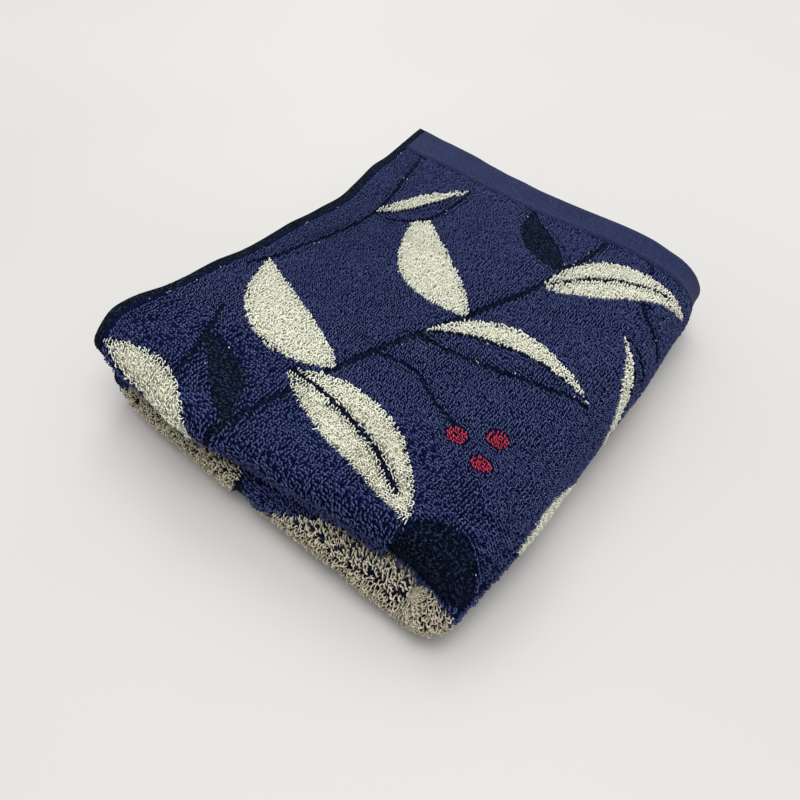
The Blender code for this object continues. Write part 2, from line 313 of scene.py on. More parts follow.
def wovenDesign(across, along):  # which yarn stands at each place of the flat towel
    again = designRepeat
    turned = (across > again["turnedFrom"]) & (along < again["turnedBefore"])
    repeat = along > again["from"]
    u = np.where(repeat, np.mod(across, again["across"]), across)
    v = np.where(repeat, np.mod(along, again["along"]), along)
    u = np.where(turned, again["turnedAcross"] - across, u)
    v = np.where(turned, again["turnedAlong"] - along, v)
    yarn = np.full(across.shape, navyYarn)
    for width, path in stemPaths:
        yarn[offPath(u, v, path) < width / 2] = noPile
    for baseU, baseV, tipU, tipV, widest, bow, kind in leafRows:
        du, dv = tipU - baseU, tipV - baseV
        length = np.hypot(du, dv)
        s = ((u - baseU) * du + (v - baseV) * dv) / length**2
        inReach = np.clip(s, 0, 1)
        side = ((u - baseU) * dv - (v - baseV) * du) / length - bow * length * 4 * s * (1 - s)
        half = widest / 2 * np.sin(pi * inReach**0.82) ** 0.9
        inside = (s > 0) & (s < 1) & (np.abs(side) < half)
        rim = (s > -0.02) & (s < 1.02) & (np.abs(side) < half + outline) & ~inside
        rib = (np.abs(side) < midrib / 2) & inside & (s < 0.84)
        if kind in ("cream", "veined"):
            yarn[inside] = creamYarn
            if kind == "veined":
                yarn[rib] = noPile
        elif kind == "half":
            yarn[rim & (side < 0)] = noPile
            yarn[inside] = navyYarn
            yarn[inside & (side > 0)] = creamYarn
            yarn[rib] = noPile
        else:
            yarn[inside] = noPile
    for berryU, berryV, radius in berryRows:
        away = np.hypot(u - berryU, v - berryV)
        yarn[away < radius + berryRim] = noPile
        yarn[away < radius] = redYarn
    return yarn


def reverseDesign(across, along):  # the back of the cloth, where navy and cream change places
    yarn = wovenDesign(across, along)
    return np.select([yarn == navyYarn, yarn == creamYarn], [creamYarn, navyYarn], yarn)


def bareAround(across, along, reach):  # share of pile-free ground round each place, and which way it lies
    share, towardU, towardV = (np.zeros(across.shape) for _ in range(3))
    ways = len(compass)
    for angle in compass:
        stepU, stepV = reach * np.sin(angle), reach * np.cos(angle)
        bare = wovenDesign(across + stepU, along + stepV) == noPile
        share += bare / ways
        towardU += bare * np.sin(angle) / (ways / 2)
        towardV += bare * np.cos(angle) / (ways / 2)
    return share, towardU, towardV


# meshes and materials
def makeMesh(name, points, faceSets, uvs=None, faceMaterials=None, pointValues=None):
    # faceSets are arrays of quads or triangles, uvs one (x, y) for each corner in the same order
    mesh = bpy.data.meshes.new(name)
    sizes = np.concatenate([np.full(len(faces), faces.shape[1]) for faces in faceSets])
    corners = np.concatenate([faces.ravel() for faces in faceSets])
    mesh.vertices.add(len(points))
    mesh.vertices.foreach_set("co", np.ascontiguousarray(points, np.float32).ravel())
    mesh.loops.add(len(corners))
    mesh.loops.foreach_set("vertex_index", corners.astype(np.int32))
    mesh.polygons.add(len(sizes))
    mesh.polygons.foreach_set("loop_start", np.concatenate([[0], np.cumsum(sizes)[:-1]]).astype(np.int32))
    if faceMaterials is not None:
        mesh.polygons.foreach_set("material_index", faceMaterials.astype(np.int32))
    mesh.update(calc_edges=True)
    if uvs is not None:
        mesh.uv_layers.new(name="clothMap").data.foreach_set("uv", uvs.astype(np.float32).ravel())
    for label, values in (pointValues or {}).items():
        attribute = mesh.attributes.new(label, "FLOAT", "POINT")
        attribute.data.foreach_set("value", values.astype(np.float32).ravel())
    mesh.shade_smooth()
    piece = bpy.data.objects.new(name, mesh)
    bpy.context.scene.collection.objects.link(piece)
    return piece


def startMaterial(name):
    material = bpy.data.materials.new(name)
    material.use_nodes = True
    return material, material.node_tree, material.node_tree.nodes["Principled BSDF"]


def addNode(tree, kind, **values):
    node = tree.nodes.new(kind)
    for key, value in values.items():
        if hasattr(node, key):
            setattr(node, key, value)
        else:
            node.inputs[key].default_value = value
    return node


def mixColours(tree, factor, first, second):
    mix = tree.nodes.new("ShaderNodeMix")
    mix.data_type = "RGBA"
    for socket, value in zip((mix.inputs[0], mix.inputs[6], mix.inputs[7]), (factor, first, second)):
        if isinstance(value, bpy.types.NodeSocket):
            tree.links.new(value, socket)
        elif isinstance(value, (int, float)):
            socket.default_value = value
        else:
            socket.default_value = (*value, 1.0)
    return mix.outputs[2]


def mathNode(tree, operation, *values):
    node = tree.nodes.new("ShaderNodeMath")
    node.operation = operation
    for socket, value in zip(node.inputs, values):
        if isinstance(value, bpy.types.NodeSocket):
            tree.links.new(value, socket)
        else:
            socket.default_value = value
    return node.outputs[0]


def noiseAt(tree, vector, scale, detail=2.0):
    noise = addNode(tree, "ShaderNodeTexNoise", Scale=scale, Detail=detail)
    tree.links.new(vector, noise.inputs["Vector"])
    return noise.outputs["Fac"]


def ramp(tree, factor, low, high):  # spreads low..high to 0..1
    spread = addNode(tree, "ShaderNodeMapRange", interpolation_type="SMOOTHSTEP")
    spread.inputs["From Min"].default_value, spread.inputs["From Max"].default_value = low, high
    tree.links.new(factor, spread.inputs["Value"])
    return spread.outputs["Result"]


def finishSurface(tree, shader, look, surface, colour, relief, strength, roughBy):
    tree.links.new(colour, shader.inputs["Base Color"])
    bump = addNode(tree, "ShaderNodeBump", Strength=strength, Distance=surface["reliefDepth"])
    tree.links.new(relief, bump.inputs["Height"])
    tree.links.new(bump.outputs["Normal"], shader.inputs["Normal"])
    roughness = addNode(tree, "ShaderNodeMapRange")
    roughness.inputs["To Min"].default_value, roughness.inputs["To Max"].default_value = surface["roughness"]
    tree.links.new(roughBy, roughness.inputs["Value"])
    tree.links.new(roughness.outputs["Result"], shader.inputs["Roughness"])
    shader.inputs["Specular IOR Level"].default_value = look["shine"]
    shader.inputs["Sheen Weight"].default_value = look["sheen"]
    shader.inputs["Sheen Roughness"].default_value = surface["sheenRoughness"]
    shader.inputs["Sheen Tint"].default_value = (*look["sheenTint"], 1.0)


yarnSurface = {  # noise scales, and the shares of the noise or of the loop's height that they spread over
    "cloud": 34.0, "cloudSpread": (0.35, 0.65), "loop": 620.0, "loopSpread": (0.3, 0.7),
    # crown and foot: shares of the loop's height that take the painted highlight and the painted shade
    "crownHighlight": (0.70, 1.0), "footShade": (0.05, 0.80), "twist": 1.1, "grooveShade": 0.45,
    "fuzz": 4200.0, "fuzzRelief": 0.8, "relief": 0.45, "reliefDepth": 0.00008,
    "roughness": (0.78, 0.95), "sheenRoughness": 0.45,
}


def yarnMaterial(name, look):  # two-ply cotton yarn, its twist from the map along each loop
    material, tree, shader = startMaterial(name)
    surface = yarnSurface
    coordinates = addNode(tree, "ShaderNodeTexCoord")
    places, alongYarn = coordinates.outputs["Object"], coordinates.outputs["UV"]
    patchy = ramp(tree, noiseAt(tree, places, surface["cloud"]), *surface["cloudSpread"])
    perLoop = ramp(tree, noiseAt(tree, places, surface["loop"], 1.0), *surface["loopSpread"])
    colour = mixColours(tree, patchy, look["deep"], look["main"])
    colour = mixColours(tree, mathNode(tree, "MULTIPLY", perLoop, look["speckle"]), colour, look["light"])
    twist = addNode(tree, "ShaderNodeTexWave", wave_type="BANDS", bands_direction="DIAGONAL",
                    Scale=surface["twist"], Distortion=1.5, Detail=1.0)
    tree.links.new(alongYarn, twist.inputs["Vector"])
    grooves = mathNode(tree, "SUBTRACT", 1.0, twist.outputs["Fac"])
    shade = mathNode(tree, "MULTIPLY", grooves, look["grooves"])
    colour = mixColours(tree, shade, colour, [surface["grooveShade"] * c for c in look["deep"]])
    rise = addNode(tree, "ShaderNodeAttribute", attribute_name="rise").outputs["Fac"]
    # painted highlight: the loop's crown is lightened toward the light tone
    crownHighlight = mathNode(tree, "MULTIPLY", ramp(tree, rise, *surface["crownHighlight"]), look["crownHighlight"])
    colour = mixColours(tree, crownHighlight, colour, look["light"])
    colour = mixColours(tree, ramp(tree, rise, *surface["footShade"]), look["footShade"], colour)  # painted shade: the loops' feet are darkened toward their shade colour
    fuzz = noiseAt(tree, places, surface["fuzz"], 2.0)
    fuzzy = mathNode(tree, "MULTIPLY", fuzz, surface["fuzzRelief"])
    relief = mathNode(tree, "ADD", twist.outputs["Fac"], fuzzy)
    finishSurface(tree, shader, look, surface, colour, relief, surface["relief"], fuzz)
    return material


weaveSurface = {
    "uneven": 1900.0, "unevenLeast": 0.5, "crowns": (0.0, 0.75),  # no thread is as thick as the next
    "patchy": 60.0, "patchySpread": (0.3, 0.7), "flecks": 1150.0, "fleckSpread": (0.52, 0.66),
    "reliefDepth": 0.00014, "roughness": (0.92, 0.75), "sheenRoughness": 0.5,
}


def weaveMaterial(name, look):  # plain weave seen close, its threads set by the flat cloth map
    material, tree, shader = startMaterial(name)
    surface = weaveSurface
    coordinates = addNode(tree, "ShaderNodeTexCoord")
    places, cloth = coordinates.outputs["Object"], coordinates.outputs["UV"]
    apart = addNode(tree, "ShaderNodeSeparateXYZ")
    tree.links.new(cloth, apart.inputs[0])
    turnsAcross = mathNode(tree, "MULTIPLY", apart.outputs["X"], pi / look["thread"])
    turnsAlong = mathNode(tree, "MULTIPLY", apart.outputs["Y"], pi / look["thread"] * look["ribbing"])
    over = mathNode(tree, "MULTIPLY", mathNode(tree, "SINE", turnsAcross), mathNode(tree, "SINE", turnsAlong))
    uneven = noiseAt(tree, places, surface["uneven"], 1.5)
    thickness = mathNode(tree, "ADD", uneven, surface["unevenLeast"])
    raised = mathNode(tree, "MULTIPLY", mathNode(tree, "ABSOLUTE", over), thickness)
    crowns = ramp(tree, raised, *surface["crowns"])
    patchy = ramp(tree, noiseAt(tree, places, surface["patchy"]), *surface["patchySpread"])
    flecks = ramp(tree, noiseAt(tree, places, surface["flecks"], 1.0), *surface["fleckSpread"])
    colour = mixColours(tree, patchy, look["deep"], look["main"])
    # painted shade: the gaps between the threads are darkened
    gapShade = mathNode(tree, "SUBTRACT", 1.0, crowns)
    colour = mixColours(tree, gapShade, colour, [look["gapShade"] * c for c in look["deep"]])
    colour = mixColours(tree, mathNode(tree, "MULTIPLY", flecks, look["flecks"]), colour, look["light"])
    finishSurface(tree, shader, look, surface, colour, crowns, look["relief"], crowns)
    return material, tree, shader, colour


# the ground cloth
groundCloth = {
    "fineStep": 0.0024, "coarseStep": 0.0060, "turnStep": 0.0008,
    "fineAcross": 0.207, "fineAlong": 0.219,
    "bed": 0.0004,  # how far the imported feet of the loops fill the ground
    "bedInset": 0.0019,
    "dip": 0.00045, "dipReach": 0.0034,  # how far the cloth sinks beside pile-free lines
    "ridge": 0.00035, "ridgeIn": 0.0020, "ridgeWidth": 0.00035,  # a fine cord along each hem's inner edge
    "ridgeRows": np.array([0.0030, 0.0024, 0.0020, 0.0016, 0.0010]),
    "edgePile": 0.0050, "edgeFade": 0.0015,  # inner layers have real loops this far in from their edges
    "pileStop": (0.013, 0.016), "turnPile": (0.0062, 0.0078),  # past the front roll, and at the back turn
    "bareReach": 0.0011,
    "rim": 0.55,  # how thick the cloth's rounded edges are
    "bedSpeckle": 900.0, "bedSpread": (0.4, 0.62),
    "navyBedShaded": ((0.0006, 0.0020, 0.0150), (0.0025, 0.0060, 0.0380)),  # between the loops' feet: the packed yarn's colour, darkened as painted shade
    "creamBedShaded": ((0.260, 0.250, 0.170), (0.740, 0.730, 0.560)),
    "groundLook": {
        "deep": (0.0008, 0.0022, 0.0080), "main": (0.0026, 0.0062, 0.0210), "light": (0.024, 0.044, 0.090),
        "thread": 0.00080, "ribbing": 1.0, "flecks": 0.70, "gapShade": 0.12, "relief": 1.0,
        "shine": 0.04, "sheen": 0.0, "sheenTint": (0.45, 0.55, 0.80)},
    "hemLook": {
        "deep": (0.0086, 0.0150, 0.0660), "main": (0.0168, 0.0255, 0.0985), "light": (0.055, 0.070, 0.180),
        "thread": 0.00060, "ribbing": 0.8, "flecks": 0.30, "gapShade": 0.45, "relief": 0.9,
        "shine": 0.15, "sheen": 0.08, "sheenTint": (0.60, 0.66, 1.0)},
    "selvageLook": {
        "deep": (0.0012, 0.0028, 0.0070), "main": (0.0032, 0.0072, 0.0180), "light": (0.022, 0.044, 0.072),
        "thread": 0.00080, "ribbing": 1.3, "flecks": 0.60, "gapShade": 0.15, "relief": 1.0,
        "shine": 0.05, "sheen": 0.0, "sheenTint": (0.45, 0.55, 0.85)},
}
partedPile = {  # the pile parts where the lower front roll bends it, and its dark ground shows; cream loops there may take a darker, warmer copy of the cream yarn as painted shade
    "sideFold": (0.05, 0.40), "start": (0.008, 0.002), "fade": 0.008,
    "uncovered": 0.9, "thinned": 0.16, "shadedAtRoll": 1.6, "scatter": 0.00026, "longer": 0.05,
}


def evenPlaces(start, end, step):
    return np.linspace(start, end, max(2, int(round((end - start) / step)) + 1))[:-1]


def groundColumns():
    edge, cloth = towelCloth["selvage"], groundCloth
    last = towelCloth["width"] - edge
    return np.concatenate([
        [0.0, 0.0004, 0.0022, edge - 0.0003],
        evenPlaces(edge, cloth["fineAcross"], cloth["fineStep"]),
        evenPlaces(cloth["fineAcross"], last - 0.008, cloth["coarseStep"]),
        last - np.array([0.008, 0.006, 0.004, 0.002, 0.0005]),
        [last, last + 0.0018, towelCloth["width"] - 0.0004, towelCloth["width"]],
    ])


def groundRows():
    hem, cloth = towelCloth["hem"], groundCloth
    ridge = cloth["ridgeRows"]
    rows = [[0.0, 0.0005, 0.003, 0.0065, 0.0100], hem - ridge,
            evenPlaces(hem, cloth["fineAlong"], cloth["fineStep"])]
    start = cloth["fineAlong"]
    turnEnds = [backTurnStart, backTurnStart + pi * innerTurn,
                backTurnStart + pi * innerTurn + innerLayer, clothLength - lastLayer]
    for number, end in enumerate(turnEnds):
        rows.append(evenPlaces(start, end, cloth["turnStep"] if number % 2 else cloth["coarseStep"]))
        start = end
    last = clothLength - hem
    rows.append(evenPlaces(start, last - 0.008, cloth["coarseStep"]))
    rows.append([last - 0.008, last - 0.006, last - 0.0038, last - 0.0018, last])
    rows.append(last + ridge[::-1])
    rows.append(clothLength - np.array([0.0100, 0.0065, 0.003, 0.0005, 0.0]))
    return np.concatenate(rows)


def pileShown(across, along):  # where the face and the back of the cloth have real loops, 0 to 1
    turnMiddle = backTurnStart + pi * innerTurn / 2
    reach = groundCloth["edgePile"]
    edges = 1 - ease(reach, reach + groundCloth["edgeFade"], np.minimum(*insideBands(across, along)))
    stop = [frontRollEnd + past for past in groundCloth["pileStop"]]
    face = np.maximum(edges, 1 - ease(*stop, along))
    face = np.maximum(face, 1 - ease(*groundCloth["turnPile"], np.abs(along - turnMiddle)))
    return face, edges


def openAtRoll(across, along):
    first, full = (sideFoldX + share * sideFoldCloth for share in partedPile["sideFold"])
    before, after = partedPile["start"]
    parted = ease(first, full, across) * ease(firstLayer - before, firstLayer + after, along)
    return parted * (1 - ease(frontRollEnd, frontRollEnd + partedPile["fade"], along))


def sinking(across, along):  # the cloth dips beside its pile-free lines
    share, _, _ = bareAround(across, along, groundCloth["dipReach"])
    return groundCloth["dip"] * ease(0, 0.6, share) * (along < frontRollEnd)


def groundLift(across, along):  # lift of the face's ground and of its back, from the cloth's middle
    face, back = pileShown(across, along)
    bare, _, _ = bareAround(across, along, groundCloth["bareReach"])
    bare = 0.5 * bare + 0.5 * (wovenDesign(across, along) == noPile)
    bed = groundCloth["bed"] * (1 - ease(0.1, 0.6, bare))
    underLoops = towelCloth["weave"] + bed - 0.5 * sinking(across, along)
    packed = towelCloth["hiddenPile"]
    lifts = (packed + (underLoops - packed) * shown for shown in (face, back))
    fromRidge = (insideBands(across, along)[1] + groundCloth["ridgeIn"]) / groundCloth["ridgeWidth"]
    ridge = groundCloth["ridge"] * np.exp(-(fromRidge ** 2))
    up, down = (halfThickness(across, along, lift) + ridge for lift in lifts)
    return up, -down, ease(0.15, 0.6, bare)


def makeGround():
    columns, rows = groundColumns(), groundRows()
    across, along = np.meshgrid(columns, rows)
    hem = towelCloth["hem"]
    slant = hemSlant(across) * ease(0, hem, along)  # rows follow the hem
    along = along + slant * (1 - ease(hem, 3 * hem, along))
    face, back, bare = groundLift(across, along)
    edge = np.zeros_like(across, bool)
    edge[[0, -1], :] = edge[:, [0, -1]] = True
    face, back = (np.where(edge, lift * groundCloth["rim"], lift) for lift in (face, back))
    points = np.concatenate([placeOnTowel(across, along, lift) for lift in (face, back)]).reshape(-1, 3)
    high, wide = across.shape
    number = np.arange(high * wide).reshape(high, wide)
    corners = [number[:-1, :-1], number[:-1, 1:], number[1:, 1:], number[1:, :-1]]
    quads = np.stack(corners, axis=-1).reshape(-1, 4)
    under = quads[:, ::-1] + high * wide
    ring = np.concatenate([number[0, :], number[1:, -1], number[-1, -2::-1], number[-2:0:-1, 0]])
    following = np.roll(ring, -1)
    rim = np.stack([ring, ring + high * wide, following + high * wide, following], axis=-1)
    faces = np.concatenate([quads, under, rim])
    flatPlaces = np.concatenate([np.stack([across, along], axis=-1).reshape(-1, 2)] * 2)
    middles = flatPlaces[faces].mean(axis=1)
    pastSelvage, pastHem = insideBands(middles[:, 0], middles[:, 1])
    material = np.where(pastSelvage < 0, 2, np.where(pastHem < 0, 1, 0))
    # how much pile bed covers the ground, and whether its yarn is cream
    isCream = wovenDesign(across, along) == creamYarn
    parted = isCream * openAtRoll(across, along)
    covered = np.concatenate([(1 - bare) * (1 - partedPile["uncovered"] * parted), 1 - bare])
    inset = groundCloth["bedInset"]
    for angle in compass:  # the pale bed keeps inside the cream shapes
        nearby = wovenDesign(across + inset * np.sin(angle), along + inset * np.cos(angle))
        isCream = isCream & (nearby == creamYarn)
    cream = np.concatenate([isCream * (1 - parted), reverseDesign(across, along) == creamYarn])
    values = {"pileCover": covered, "creamPile": cream}
    return makeMesh("terryCloth", points, [faces], flatPlaces[faces], material, values)


def groundMaterial():  # black-navy weave where it is bare, packed loop feet elsewhere, darkened as painted shade between the loops
    material, tree, shader, colour = weaveMaterial("ground weave", groundCloth["groundLook"])
    cover, cream = (addNode(tree, "ShaderNodeAttribute", attribute_name=label).outputs["Fac"]
                    for label in ("pileCover", "creamPile"))
    coordinates = addNode(tree, "ShaderNodeTexCoord")
    specks = noiseAt(tree, coordinates.outputs["Object"], groundCloth["bedSpeckle"], 1.0)
    speckle = ramp(tree, specks, *groundCloth["bedSpread"])
    navyBedShaded = mixColours(tree, speckle, *groundCloth["navyBedShaded"])
    creamBedShaded = mixColours(tree, speckle, *groundCloth["creamBedShaded"])
    # the bed colours are the loop yarn darkened: painted shade in the gaps between the loops
    bed = mixColours(tree, cream, navyBedShaded, creamBedShaded)
    tree.links.new(mixColours(tree, cover, colour, bed), shader.inputs["Base Color"])
    return material


ground = makeGround()
ground.data.materials.append(groundMaterial())
ground.data.materials.append(weaveMaterial("hem weave", groundCloth["hemLook"])[0])
ground.data.materials.append(weaveMaterial("selvage weave", groundCloth["selvageLook"])[0])
print("stage: ground cloth", len(ground.data.polygons), "faces")


# the pile: every loop is an arch of yarn
pileLoops = {
    "acrossPitch": 0.00158, "alongPitch": 0.00145,
    "jitter": 0.00013,
    "skew": 0.07,  # the rows run a little off square, as in any washed towel
    "brushed": (0.047, 0.061, 0.058),  # how far apart the pile changes the way that it is brushed
    "navyPitch": 0.88, "creamPitch": 0.76, "navyFinePitch": 0.74, "creamFinePitch": 0.67,
    "largerFrom": 0.150,  # loops stand closer on the flat top and longer from here to the rolls
    "borderWaves": ((0.006, 95), (0.003, 260)), "borderBlend": 0.07,
    "edgePitch": 1.45, "turnPitch": 0.95, "restingPitch": 2.4, "knotPitch": 0.78, "turnReach": 0.0074,
    "restingAcross": 0.209, "restingAlong": 0.168,  # beyond and before these the towel lies on the floor
    "startAcross": 0.0017, "startAlong": 0.0012,  # the first row inside the selvages and hems
    "sunkBase": 0.00015,  # how deep the loops' feet are tied into the weave
    "nearLine": 0.0016, "straightAtLine": 0.8, "overLine": 0.35,  # beside and over pile-free lines
    "brushedTurn": 0.35, "brushedLean": 0.30,
    "widths": (0.75, 1.25), "heights": (0.82, 1.18), "yarns": (0.88, 1.12),  # no loop is as large as the next
    "seed": 11,
}
# each kind of loop, in metres and radians: the arch's width and height, the yarn's radius, how much the
# arch widens above its feet, its turn and tilt and how much each varies, how loose it is, its segments
loopSizes = ("width", "height", "yarn", "open", "turn", "turnSpread", "tilt", "lean", "loose", "segments")
yarnLooks = {
    "navy": (0.00165, 0.00190, 0.00027, 0.62, 0.80, 0.40, 0.75, 0.28, 0.14, 4),
    "cream": (0.00168, 0.00192, 0.00025, 0.66, 0.75, 0.50, 0.70, 0.32, 0.15, 4),
    "navyFine": (0.00150, 0.00160, 0.00023, 0.60, 0.80, 0.45, 0.36, 0.28, 0.14, 3),
    "creamFine": (0.00160, 0.00160, 0.00031, 0.64, 0.75, 0.75, 0.45, 0.34, 0.18, 3),
    "edge": (0.00165, 0.00115, 0.00040, 0.50, 0.80, 0.90, 0.10, 0.30, 0.20, 3),
    "resting": (0.00250, 0.00150, 0.00072, 0.50, 0.80, 0.60, 0.20, 0.35, 0.20, 3),
    "knot": (0.00056, 0.00030, 0.00018, 0.30, 0.80, 0.90, 0.0, 0.30, 0.20, 2),
    "fleck": (0.00050, 0.00075, 0.00022, 0.50, 0.80, 1.50, 0.10, 0.40, 0.20, 3),
}
yarnLooks = {kind: dict(zip(loopSizes, look)) for kind, look in yarnLooks.items()}


def loopGrid(acrossRange, alongRange, coarser, dice):
    # rows of loops, a little skewed and jittered, kept inside the ranges
    acrossStep, alongStep = pileLoops["acrossPitch"] * coarser, pileLoops["alongPitch"] * coarser
    jitter = pileLoops["jitter"] * coarser
    drift = pileLoops["skew"] * (acrossRange[1] - acrossRange[0])
    rows = np.arange(alongRange[0] - drift, alongRange[1] + drift, alongStep)
    columns = np.arange(acrossRange[0], acrossRange[1], acrossStep)
    across, along = np.meshgrid(columns, rows)
    along = along + pileLoops["skew"] * (across - acrossRange[0])
    across = across + dice.uniform(-jitter, jitter, across.shape)
    along = along + dice.uniform(-jitter, jitter, along.shape)
    kept = (along > alongRange[0]) & (along < alongRange[1])
    kept &= (across > acrossRange[0]) & (across < acrossRange[1])
    return across[kept], along[kept]


def loopShapes(across, along, base, face, look, dice, longer):
    # every loop as rings of three points along an arch, on the flat towel; face is 1, or -1 for the back
    count, segments = len(across), look["segments"]
    share, towardU, towardV = bareAround(across, along, pileLoops["nearLine"])
    first, second, third = pileLoops["brushed"]  # one way here and another there
    swirl = np.sin(2 * pi * (across + 0.7 * along) / first + 1.5 * np.sin(2 * pi * along / second))
    brushed = swirl * np.sin(2 * pi * (along - 0.4 * across) / third)
    turn = dice.normal(look["turn"], look["turnSpread"], count) + pileLoops["brushedTurn"] * brushed
    lean = dice.normal(look["tilt"], look["lean"], count) + pileLoops["brushedLean"] * brushed
    lean *= 1 - pileLoops["straightAtLine"] * ease(0, 0.3, share)
    width = look["width"] * longer * dice.uniform(*pileLoops["widths"], count)
    height = look["height"] * longer * dice.uniform(*pileLoops["heights"], count)
    shift = dice.normal(0.0, look["loose"], count) * height
    twist = dice.normal(0.0, 1.6 * look["loose"], count)
    angle = np.linspace(0, pi, segments + 1)
    reach = np.cos(angle) * (1 - look["open"] + 1.45 * look["open"] * np.sin(angle))
    rise = np.sin(angle) ** 0.85
    a = 0.5 * width[:, None] * reach + shift[:, None] * rise
    h = height[:, None] * rise
    tangentA, tangentH = np.gradient(a, axis=1), np.gradient(h, axis=1)
    long = np.hypot(tangentA, tangentH)
    outA, outH = tangentH / long, -tangentA / long
    flip = np.where(outH[:, segments // 2] < 0, -1.0, 1.0)[:, None]
    outA, outH = outA * flip, outH * flip
    around = np.arange(3) * 2 * pi / 3
    thick = look["yarn"] * dice.uniform(*pileLoops["yarns"], count)[:, None, None]
    thick = thick * (0.86 + 0.14 * rise)[None, :, None]
    ringA = a[..., None] + thick * np.cos(around) * outA[..., None]
    ringB = thick * np.sin(around) * np.ones_like(a)[..., None]
    ringH = h[..., None] + thick * np.cos(around) * outH[..., None]
    lean = lean[:, None, None]
    overFoot = ringH - 0.5 * height[:, None, None]  # the crown stays over its place
    leanB = ringB * np.cos(lean) + overFoot * np.sin(lean)
    leanH = ringH * np.cos(lean) - ringB * np.sin(lean)
    turned = turn[:, None, None] + twist[:, None, None] * rise[None, :, None]
    outward = pileLoops["overLine"] * leanH
    u = across[:, None, None] + ringA * np.sin(turned) + leanB * np.cos(turned)
    v = along[:, None, None] + ringA * np.cos(turned) - leanB * np.sin(turned)
    u, v = u + towardU[:, None, None] * outward, v + towardV[:, None, None] * outward
    lift = base[:, None, None] + leanH
    points = placeOnTowel(u, v, face * lift)
    steps = np.hypot(np.diff(a, axis=1), np.diff(h, axis=1)) / (2 * look["yarn"])
    yarnRun = np.concatenate([np.zeros((count, 1)), np.cumsum(steps, axis=1)], axis=1)
    yarnRun = yarnRun + dice.uniform(0, 40, (count, 1))  # no two twists start alike
    return points, yarnRun, np.broadcast_to(rise[None, :, None] / rise.max(), points.shape[:3])


def loopFaces(count, segments, flipped):
    rings = segments + 1
    start = (np.arange(count) * rings * 3)[:, None, None]
    k, j = np.meshgrid(np.arange(segments), np.arange(3), indexing="ij")
    following = (j + 1) % 3
    corners = [k * 3 + j, k * 3 + following, (k + 1) * 3 + following, (k + 1) * 3 + j]
    quad = np.stack(corners, axis=-1).reshape(-1, 4)
    cap = np.array([[0, 2, 1], [segments * 3, segments * 3 + 1, segments * 3 + 2]])
    quads, caps = (quad + start).reshape(-1, 4), (cap + start).reshape(-1, 3)
    return (quads[:, ::-1], caps[:, ::-1]) if flipped else (quads, caps)


def loopMap(yarnRun, segments, flipped):  # round the yarn by along the yarn, for its twist
    k, j = np.meshgrid(np.arange(segments), np.arange(3), indexing="ij")
    pairs = ((j, k), (j + 1, k), (j + 1, k + 1), (j, k + 1))
    corner = np.stack([np.stack(pair, -1) for pair in pairs], -2).reshape(-1, 4, 2)
    if flipped:
        corner = corner[:, ::-1]
    aroundYarn = np.broadcast_to(corner[None, ..., 0] / 3, (len(yarnRun),) + corner.shape[:2])
    quads = np.stack([aroundYarn, yarnRun[:, corner[..., 1]]], axis=-1)
    caps = np.zeros((len(yarnRun), 2, 3, 2)) + yarnRun[:, [0, -1], None, None]
    return np.concatenate([quads.reshape(-1, 2), caps.reshape(-1, 2)])


toneShades = ("deep", "main", "light")  # of each yarn: a darker tone, in random patches and as painted shade in the twist grooves; the main tone; a lighter tone, at random per loop and as a painted highlight on the crown
navyTones = {  # three dye lots, mixed at random as in real towelling
    "navyPileDeep": ((0.0080, 0.0175, 0.0900), (0.0135, 0.0250, 0.1180), (0.098, 0.118, 0.275)),
    "navyPileMid": ((0.0115, 0.0225, 0.1080), (0.0185, 0.0320, 0.1370), (0.120, 0.142, 0.312)),
    "navyPileLight": ((0.0155, 0.0285, 0.1290), (0.0245, 0.0395, 0.1600), (0.142, 0.166, 0.350)),
}
creamTones = {
    "creamPileWarm": ((0.790, 0.785, 0.620), (0.870, 0.870, 0.700), (0.920, 0.925, 0.800)),
    "creamPileLight": ((0.840, 0.840, 0.690), (0.900, 0.905, 0.760), (0.940, 0.945, 0.840)),
}
# a darker, warmer copy of the cream yarn: painted shade for the lower front roll
rollShadeTones = {"creamPileRollShade": ((0.430, 0.365, 0.240), (0.580, 0.510, 0.360), (0.920, 0.870, 0.710))}
redTones = {"redPile": ((0.560, 0.016, 0.050), (0.700, 0.026, 0.080), (0.820, 0.100, 0.160))}
knotTones = {"groundKnots": ((0.0012, 0.0034, 0.0130), (0.0042, 0.0090, 0.0300), (0.026, 0.046, 0.100))}
# the foot colour is the painted shade at the loops' feet; crown is how much painted highlight the crown takes
navyYarnFinish = {
    "speckle": 0.55, "crownHighlight": 0.52, "grooves": 0.30, "footShade": (0.0004, 0.0020, 0.0260),
    "shine": 0.03, "sheen": 0.07, "sheenTint": (0.50, 0.62, 1.0)}
creamYarnFinish = {
    "speckle": 0.50, "crownHighlight": 0.50, "grooves": 0.05, "footShade": (0.700, 0.690, 0.520),
    "shine": 0.10, "sheen": 0.10, "sheenTint": (1.0, 0.98, 0.90)}
rollShadeFinish = {
    "speckle": 0.50, "crownHighlight": 0.50, "grooves": 0.20, "footShade": (0.230, 0.185, 0.115),
    "shine": 0.05, "sheen": 0.05, "sheenTint": (1.0, 0.96, 0.85)}
redYarnFinish = {
    "speckle": 0.50, "crownHighlight": 0.30, "grooves": 0.30, "footShade": (0.060, 0.002, 0.012),
    "shine": 0.10, "sheen": 0.10, "sheenTint": (1.0, 0.60, 0.70)}
knotYarnFinish = {
    "speckle": 0.55, "crownHighlight": 0.25, "grooves": 0.40, "footShade": (0.0004, 0.0012, 0.0040),
    "shine": 0.04, "sheen": 0.0, "sheenTint": (0.50, 0.62, 1.0)}

yarnMaterials = {}
for tones, finish in (
        (navyTones, navyYarnFinish), (creamTones, creamYarnFinish), (rollShadeTones, rollShadeFinish),
        (redTones, redYarnFinish), (knotTones, knotYarnFinish)):
    for name, tone in tones.items():
        look = {**dict(zip(toneShades, tone)), **finish}
        yarnMaterials[name] = yarnMaterial(name + " yarn", look)


